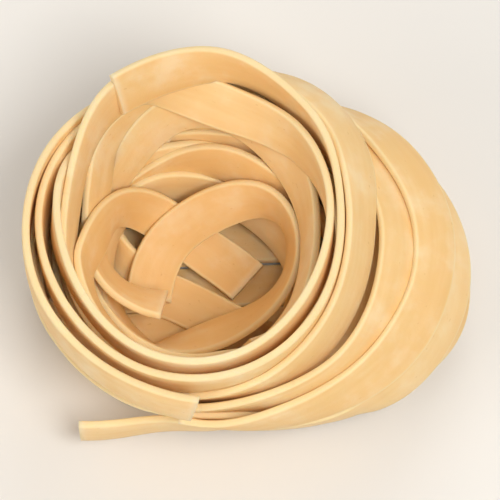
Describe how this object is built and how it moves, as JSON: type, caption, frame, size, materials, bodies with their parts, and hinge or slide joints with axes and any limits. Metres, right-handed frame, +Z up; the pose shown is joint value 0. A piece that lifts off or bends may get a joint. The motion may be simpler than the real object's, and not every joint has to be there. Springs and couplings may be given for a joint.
{
  "type": "dry pasta nest",
  "caption": "Dry ribbon pasta coiled into an oval nest, with an off-centre funnel hollow, loose square-cut ends and ribbons that cross the bottom of the hollow.",
  "frame": {"origin": "middle of the nest's outline, on the plane it rests on", "axes": "+Z up out of the hollow's mouth, +X towards the thicker side of the ring, -Y towards the front"},
  "size_m": [0.0584, 0.0498, 0.0314],
  "materials": {
    "dry_pasta": "matt, faintly rough"
  },
  "bodies": {
    "root": {"pasta_nest": "dry_pasta"}
  },
  "joints": []
}
